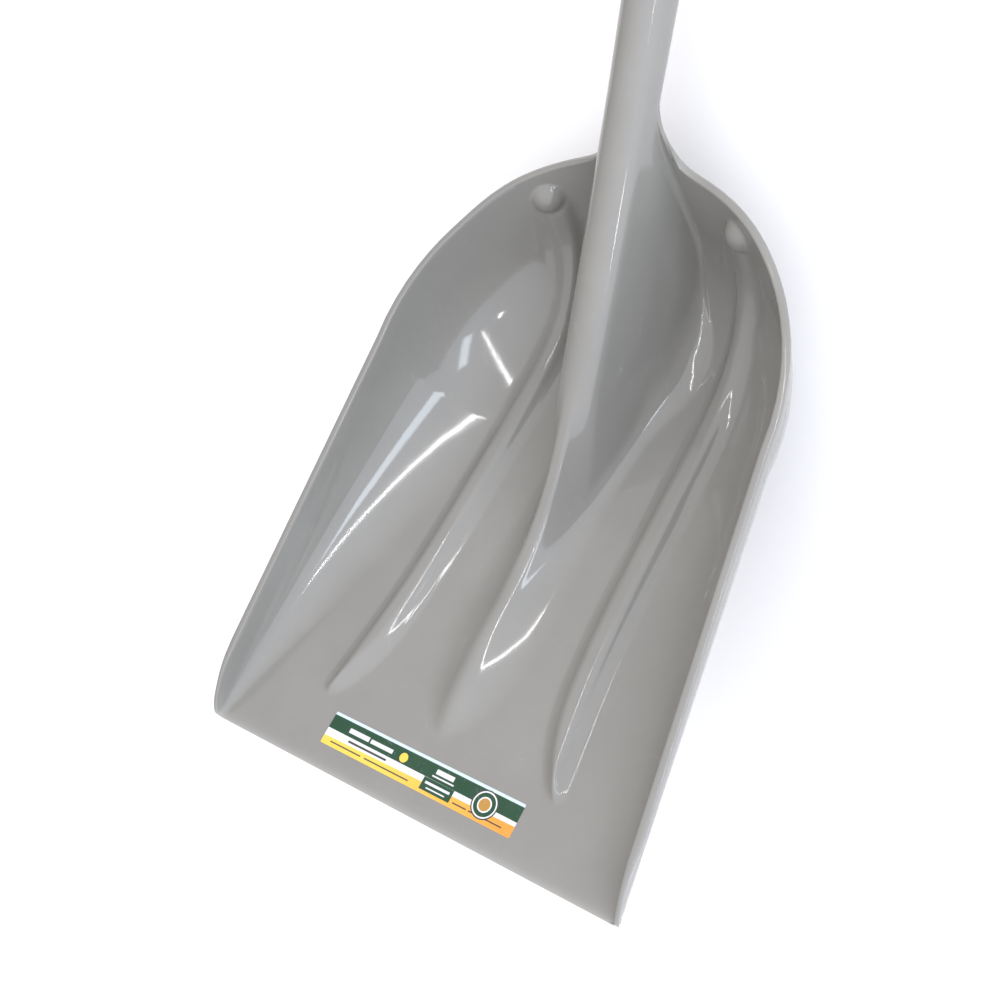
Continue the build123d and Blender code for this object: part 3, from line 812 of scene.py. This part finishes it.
def on_handle(s):
    """The point on the handle's axis at s, in the row frame."""
    return to_row((AXIS_X + s * math.cos(LIFT), 0.0, AXIS_Z + s * math.sin(LIFT)))


def lacquered_wood(name, turn, light, dark, bands):
    """Straight-grained wood under clear lacquer; turn lays the grain along the piece."""
    made, tree, shader, place = finish(name)
    along = node(tree, "ShaderNodeMapping", {"Vector": place, "Rotation": turn}).outputs[0]
    grain = placed(tree, GRAIN, along, bands=bands, pores=950.0)
    scratch = placed(tree, SCRATCHES, along, scale=22.0, amount=0.7)[0]
    dust = placed(tree, DUST, place, scale=16.0, amount=0.6)
    skin = placed(tree, SKIN, along, ripple=30.0, pebble=500.0)
    colour = mixed(tree, grain["Grain"], light, dark)
    colour = stained(tree, colour, grain["Pore"], 0.45, (0.16, 0.085, 0.035, 1))
    colour = stained(tree, colour, skin["Mottle"], 0.22, (0.36, 0.19, 0.075, 1))
    colour = stained(tree, colour, scratch, 0.25, (0.58, 0.44, 0.27, 1))
    colour = stained(tree, colour, dust["Mask"], 0.10, (0.45, 0.41, 0.34, 1))
    height = plus_share(tree, grain["Pore"], -1.0, grain["Grain"])
    dressed(tree, shader, colour, plus_share(tree, grain["Pore"], 0.2, 0.36), height, 0.0001, 0.5)
    shader.inputs["Coat Weight"].default_value = 0.55
    shader.inputs["Coat Roughness"].default_value = 0.18
    return made


def black_enamel():
    """Dipped black enamel on stamped steel, with fine scratches down to grey."""
    made, tree, shader, place = finish("black_steel")
    skin = placed(tree, SKIN, place, ripple=55.0, pebble=900.0)
    scratch = placed(tree, SCRATCHES, place, scale=30.0, amount=0.9)[0]
    dust = placed(tree, DUST, place, scale=22.0, amount=0.7)
    tone = ramp(tree, skin["Mottle"], 0.3, 0.7)
    colour = mixed(tree, tone, (0.011, 0.011, 0.012, 1), (0.018, 0.018, 0.019, 1))
    colour = stained(tree, colour, scratch, 0.3, (0.16, 0.16, 0.16, 1))
    colour = stained(tree, colour, dust["Mask"], 0.08, (0.42, 0.39, 0.34, 1))
    rough = plus_share(tree, scratch, 0.2, plus_share(tree, dust["Mask"], 0.18, 0.24))
    dressed(tree, shader, colour, rough, skin["Height"], 0.0004, 0.5)
    return made


def zinc_plate():
    """Bright zinc plating with its cloudy spangle and a little dulling."""
    made, tree, shader, place = finish("zinc_steel")
    skin = placed(tree, SKIN, place, ripple=260.0, pebble=1400.0)
    scratch = placed(tree, SCRATCHES, place, scale=60.0, amount=0.9)[0]
    dust = placed(tree, DUST, place, scale=80.0, amount=0.8)
    tone = ramp(tree, skin["Mottle"], 0.35, 0.65)
    colour = mixed(tree, tone, (0.46, 0.46, 0.44, 1), (0.62, 0.62, 0.60, 1))
    colour = stained(tree, colour, dust["Mask"], 0.3, (0.30, 0.27, 0.22, 1))
    rough = plus_share(tree, scratch, 0.15, plus_share(tree, tone, -0.10, 0.42))
    dressed(tree, shader, colour, rough, skin["Height"], 0.0001, 0.4)
    shader.inputs["Metallic"].default_value = 1.0
    return made


ASH_LIGHT, ASH_DARK = (0.56, 0.37, 0.18, 1), (0.38, 0.22, 0.095, 1)
BAR_LIGHT, BAR_DARK = (0.52, 0.32, 0.145, 1), (0.33, 0.18, 0.075, 1)
ASH = lacquered_wood("ash_wood", (0.0, HANDLE_TILT, 0.0), ASH_LIGHT, ASH_DARK, 130.0)
TURNED = lacquered_wood("turned_wood", (0.0, 0.0, -SQUARE), BAR_LIGHT, BAR_DARK, 170.0)
ENAMEL = black_enamel()
ZINC = zinc_plate()

for name, cover in (
    ("handle_shaft", ASH),
    ("grip_yoke", ENAMEL),
    ("socket_rivet_burr", ZINC),
    ("yoke_rivet_burrs", ZINC),
    ("grip_rod_washers", ZINC),
):
    for slot in frame["nodes"][name].material_slots:
        slot.material = cover


# ---------------------------------------------------------------- turned and repeated pieces
def geometry(tree, kind, inputs, **settings):
    """The first output socket of a Geometry Nodes node, with its kind given in short."""
    return node(tree, "GeometryNode" + kind, inputs, **settings).outputs[0]


def ended(tree, form, given, out):
    """Ends a shape's tree: real geometry, then its finish."""
    real = geometry(tree, "RealizeInstances", {"Geometry": form})
    covered = geometry(tree, "SetMaterial", {"Geometry": real, "Material": given["Finish"]})
    tree.links.new(covered, out.inputs[0])
    return tree


def lathe_tree():
    """Spins an outline about the Y axis; its points are radius and place along the axis."""
    sockets = [
        ("Outline", "Geometry", None),
        ("Sides", "Int", 96),
        ("Place", "Vector", None),
        ("Finish", "Material", None),
    ]
    outputs = [("Turned", "Geometry")]
    tree, group_input, out = effect("turned_on_lathe", sockets, outputs, "GeometryNodeTree")
    given = group_input.outputs
    count = geometry(tree, "AttributeDomainSize", {"Geometry": given["Outline"]})
    seam = math_node(tree, "ADD", given["Sides"], 1.0)
    size = {"Size X": 1.0, "Size Y": 1.0, "Vertices X": count, "Vertices Y": seam}
    grid = geometry(tree, "MeshGrid", size)
    spot = geometry(tree, "InputPosition", {})
    cell = parts_of(tree, spot)
    last = math_node(tree, "SUBTRACT", count, 1.0)
    column = times(tree, math_node(tree, "ADD", cell[0], 0.5), last)
    column = math_node(tree, "ROUND", column)
    turn = times(tree, math_node(tree, "ADD", cell[1], 0.5), 2 * math.pi)
    inputs = {"Geometry": given["Outline"], "Value": spot, "Index": column}
    picked = geometry(tree, "SampleIndex", inputs, data_type="FLOAT_VECTOR", domain="POINT")
    edge = parts_of(tree, picked)
    x = times(tree, edge[0], math_node(tree, "COSINE", turn))
    z = times(tree, edge[0], math_node(tree, "SINE", turn))
    spun = {"Geometry": grid, "Position": vector_of(tree, x, edge[1], z)}
    closed = {"Geometry": geometry(tree, "SetPosition", spun), "Distance": 1e-6}
    moved = {"Geometry": geometry(tree, "MergeByDistance", closed), "Translation": given["Place"]}
    return ended(tree, geometry(tree, "Transform", moved), given, out)


def rivet_tree():
    """A rivet at each point: a shank along the point's way, a domed head and a smaller end."""
    sockets = [
        ("Places", "Geometry", None),
        ("Radius", "Float", 0.0026),
        ("Under End", "Float", 0.0),
        ("Head Spread", "Float", 2.0),
        ("Head Height", "Float", 0.85),
        ("End Spread", "Float", 1.6),
        ("End Height", "Float", 0.7),
        ("Finish", "Material", None),
    ]
    outputs = [("Rivets", "Geometry")]
    tree, group_input, out = effect("headed_rivets", sockets, outputs, "GeometryNodeTree")
    given = group_input.outputs
    way = geometry(tree, "InputNamedAttribute", {"Name": "way"}, data_type="FLOAT_VECTOR")
    reach = geometry(tree, "InputNamedAttribute", {"Name": "reach"}, data_type="FLOAT")
    far = math_node(tree, "ADD", reach, given["Under End"])
    half = times(tree, math_node(tree, "ADD", reach, far), 0.5)
    ball = geometry(tree, "MeshUVSphere", {"Segments": 40, "Rings": 20, "Radius": 1.0})
    x, y, z = parts_of(tree, geometry(tree, "InputPosition", {}))[:3]
    flat = vector_of(tree, x, y, math_node(tree, "MAXIMUM", z, 0.0))
    dome = geometry(tree, "SetPosition", {"Geometry": ball, "Position": flat})
    rod = geometry(tree, "MeshCylinder", {"Vertices": 40, "Radius": 1.0, "Depth": 2.0})
    radius = given["Radius"]
    parts = [(rod, times(tree, given["Under End"], 0.5), 1.0, radius, half)]
    for along, facing, which in ((times(tree, reach, -1.0), -1.0, "Head"), (far, 1.0, "End")):
        wide = times(tree, radius, given[which + " Spread"])
        tall = times(tree, radius, given[which + " Height"])
        parts.append((dome, along, facing, wide, tall))
    whole = node(tree, "GeometryNodeJoinGeometry")
    for form, along, facing, wide, tall in parts:
        step, faced = [
            node(tree, "ShaderNodeVectorMath", {0: way, "Scale": size}, operation="SCALE").outputs[0]
            for size in (along, facing)
        ]
        seat = geometry(tree, "SetPosition", {"Geometry": given["Places"], "Offset": step})
        turned = node(tree, "FunctionNodeAlignRotationToVector", {"Vector": faced}, axis="Z")
        size = vector_of(tree, wide, wide, tall)
        inputs = {"Points": seat, "Instance": form, "Rotation": turned.outputs[0], "Scale": size}
        tree.links.new(geometry(tree, "InstanceOnPoints", inputs), whole.inputs[0])
    return ended(tree, whole.outputs[0], given, out)


def grown(name, tree, plan, **values):
    """A plain mesh piece that a geometry node tree makes from a plan mesh and its named sizes."""
    starter = bpy.data.objects.new(name + "_plan", plan)
    bpy.context.scene.collection.objects.link(starter)
    rule = starter.modifiers.new("rule", "NODES")
    rule.node_group = tree
    wanted = {key.replace("_", " ").title(): value for key, value in values.items()}
    for socket in tree.interface.items_tree:
        if socket.in_out == "INPUT" and socket.name in wanted:
            rule[socket.identifier] = wanted[socket.name]
    ready = starter.evaluated_get(bpy.context.evaluated_depsgraph_get())
    mesh = bpy.data.meshes.new_from_object(ready)
    mesh.name = name
    starter.modifiers.remove(rule)
    bpy.data.objects.remove(starter)
    return shown(name, mesh)


def rivet_plan(places, way, reaches):
    """Points for the rivet tree, each with its way and the distance to its head's seat."""
    plan = plain_mesh("rivet_plan", [on_handle(s) for s in places])
    ways = plan.attributes.new("way", "FLOAT_VECTOR", "POINT")
    ways.data.foreach_set("vector", np.tile(way, len(places)))
    lengths = plan.attributes.new("reach", "FLOAT", "POINT")
    lengths.data.foreach_set("value", MM * np.array(reaches))
    return plan


GRIP_AXIS, ARM_HALF_SPACING, ARM_THICKNESS = 758.0, 54.0, 3.2
BAR_RADIUS, BAR_END_RADIUS, BAR_BORE = 15.0, 12.5, 4.05
BAR_SHOULDER, BORE_BEVEL = 1.6, 0.4
WASHER, BAR_PLAY = 1.0, 0.3
BAR_HALF = ARM_HALF_SPACING - ARM_THICKNESS / 2 - WASHER - BAR_PLAY
ROD_RADIUS, RIVET_RADIUS, SOCKET_RIVET_RADIUS = 4.0, 2.6, 3.2
BURR_THICKNESS, BURR_SPREAD = 1.2, 2.1
FERRULE_START, FERRULE_RADIUS, FERRULE_TAPER = 592.0, 17.8, 0.02
RIVET_STATIONS = (612.0, 640.0)
SOCKET_RIVET_STATION = 128.0


def bar_outline():
    """Half section of the hand bar: a long arc, round shoulders, flat ends and the bore."""
    y = BAR_HALF * np.sin(np.linspace(-SQUARE, SQUARE, 61))
    sag = BAR_RADIUS - BAR_END_RADIUS
    arc_radius = (BAR_HALF**2 + sag**2) / (2 * sag)
    radius = BAR_RADIUS - arc_radius + np.sqrt(arc_radius**2 - y**2)
    past = np.clip((np.abs(y) - (BAR_HALF - BAR_SHOULDER)) / BAR_SHOULDER, 0.0, 1.0)
    radius = radius - BAR_SHOULDER * (1 - np.sqrt(1 - past**2))
    bore_edge = [(BAR_BORE + BORE_BEVEL, BAR_HALF), (BAR_BORE, BAR_HALF - BORE_BEVEL)]
    outline = list(zip(radius, y)) + bore_edge + [(r, -end) for r, end in bore_edge[::-1]]
    outline.append(outline[0])
    return [(MM * r, MM * end, 0.0) for r, end in outline]


def ferrule_reach(s):
    """Distance from the handle's axis to the seat of a rivet's head on the ferrule."""
    return FERRULE_RADIUS - FERRULE_TAPER * (s - BURR_SPREAD * RIVET_RADIUS - FERRULE_START)


LATHE = lathe_tree()
RIVETS = rivet_tree()
bar_plan = plain_mesh("bar_outline", bar_outline())
bar_place = tuple(on_handle(GRIP_AXIS))
bar = grown("turned_hand_bar", LATHE, bar_plan, sides=96, place=bar_place, finish=TURNED)
stand_for(bar, "hand_bar", "grip_bar")

socket_seat = SOCKET_RIVET_STATION + BURR_SPREAD * SOCKET_RIVET_RADIUS
socket_reach = SOCKET_RADIUS + SOCKET_TAPER * socket_seat
arm_reach = ARM_HALF_SPACING + ARM_THICKNESS / 2
ferrule_plan = rivet_plan(RIVET_STATIONS, -ABOVE_HANDLE, [ferrule_reach(s) for s in RIVET_STATIONS])
socket_plan = rivet_plan((SOCKET_RIVET_STATION,), ACROSS, (socket_reach,))
rod_plan = rivet_plan((GRIP_AXIS,), ACROSS, (arm_reach,))
for name, replaced, plan, radius, under in (
    ("ferrule_rivets", "yoke_rivets", ferrule_plan, RIVET_RADIUS, BURR_THICKNESS),
    ("socket_cross_rivet", "socket_rivet", socket_plan, SOCKET_RIVET_RADIUS, BURR_THICKNESS),
    ("headed_grip_rod", "grip_rod", rod_plan, ROD_RADIUS, 0.0),
):
    made = grown(name, RIVETS, plan, radius=MM * radius, under_end=MM * under, finish=ZINC)
    stand_for(made, "shovel", replaced)


# ---------------------------------------------------------------- floor, light and camera
FLOOR_SIZE = 14.0
SKY_TOWARDS = (0.16, -0.80, 0.58)
SKY_LOW, SKY_HIGH = 0.12, 1.88
# The camera's place in mm and its directions, in the scoop's axes
CAMERA_PLACE = (-47.05, -534.76, 868.07)
CAMERA_RIGHT = (0.477943, -0.792668, -0.378481)
CAMERA_DOWN = (-0.835635, -0.277512, -0.474027)
CAMERA_FORWARD = (0.270713, 0.542830, -0.795016)
CAMERA_SENSOR, CAMERA_LENS = 36.0, 50.40


def studio_floor():
    """A plain pale floor under the shovel."""
    bpy.ops.mesh.primitive_plane_add(size=FLOOR_SIZE, location=(0.0, 0.0, 0.0))
    floor = bpy.context.object
    floor.name = "studio_floor"
    pale = bpy.data.materials.new("pale_floor")
    pale.use_nodes = True
    shader = pale.node_tree.nodes["Principled BSDF"]
    shader.inputs["Base Color"].default_value = (0.9, 0.9, 0.9, 1)
    shader.inputs["Roughness"].default_value = 0.9
    floor.data.materials.append(pale)


def area_light(name, place, target, width, height, power, colour=(1, 1, 1)):
    """A rectangular light at a place, turned towards a target."""
    lamp = bpy.data.lights.new(name, "AREA")
    lamp.shape = "RECTANGLE"
    lamp.size = width
    lamp.size_y = height
    lamp.energy = power
    lamp.color = colour
    made = bpy.data.objects.new(name, lamp)
    bpy.context.scene.collection.objects.link(made)
    made.location = place
    made.rotation_euler = (Vector(target) - Vector(place)).to_track_quat("-Z", "Y").to_euler()
    return made


def tube_light(name, start, end, thickness, power):
    """A long narrow light from one place to another, facing the bowl."""
    along = (end - start).normalized()
    back = ((start + end) / 2 - BOWL).normalized()
    facing = (back - along * back.dot(along)).normalized()
    made = area_light(name, (start + end) / 2, BOWL, (end - start).length, thickness, power)
    turn = Matrix((along, facing.cross(along), facing)).transposed()
    made.rotation_euler = turn.to_euler()
    return made


def camera():
    """The viewing camera."""
    right, down, forward = np.array((CAMERA_RIGHT, CAMERA_DOWN, CAMERA_FORWARD))
    place = to_row(CAMERA_PLACE)
    turn = Matrix([list(v @ AXES) for v in (right, -down, -forward)]).transposed()
    data = bpy.data.cameras.new("camera")
    data.sensor_width = CAMERA_SENSOR
    data.lens = CAMERA_LENS
    data.clip_start = 0.01
    made = bpy.data.objects.new("camera", data)
    bpy.context.scene.collection.objects.link(made)
    made.matrix_world = Matrix.Translation(Vector(place)) @ turn.to_4x4()
    bpy.context.scene.camera = made


studio_floor()
camera()
bpy.context.scene.view_settings.view_transform = "Standard"
BOWL = Vector(to_row((230.0, 0.0, 40.0)))


def seen_from_bowl(azimuth, elevation, distance):
    """A place at a bearing from the bowl, in degrees and metres."""
    a, e = math.radians(azimuth), math.radians(elevation)
    return BOWL + distance * Vector((math.cos(a) * math.cos(e), math.sin(a) * math.cos(e), math.sin(e)))


def studio_world():
    """Plain light from all round, a little cooler from one side and warmer from the other."""
    world = bpy.data.worlds.new("white_studio")
    world.use_nodes = True
    tree = world.node_tree
    place = tree.nodes.new("ShaderNodeTexCoord").outputs["Generated"]
    share = ramp(tree, parts_of(tree, place)[1], -1.0, 1.0)
    colour = mixed(tree, share, (0.92, 0.97, 1.10, 1), (1.05, 0.98, 0.92, 1))
    lean = vector_math(tree, "DOT_PRODUCT", place, SKY_TOWARDS).outputs["Value"]
    bright = ramp(tree, lean, -1.0, 1.0, SKY_LOW, SKY_HIGH)
    tree.links.new(colour, tree.nodes["Background"].inputs["Color"])
    tree.links.new(bright, tree.nodes["Background"].inputs["Strength"])
    bpy.context.scene.world = world


studio_world()
window_place, lamp_place = seen_from_bowl(-66, 25, 4.0), seen_from_bowl(-85, 42, 3.0)
tube_start, tube_end = seen_from_bowl(4, 35, 2.4), seen_from_bowl(-74, 34, 2.4)
area_light("window", window_place, BOWL, 1.5, 0.4, power=15, colour=(0.78, 0.88, 1.0))
area_light("lamp", lamp_place, BOWL, 0.2, 0.1, power=2)
tube_light("ceiling_tube", tube_start, tube_end, thickness=0.02, power=9)
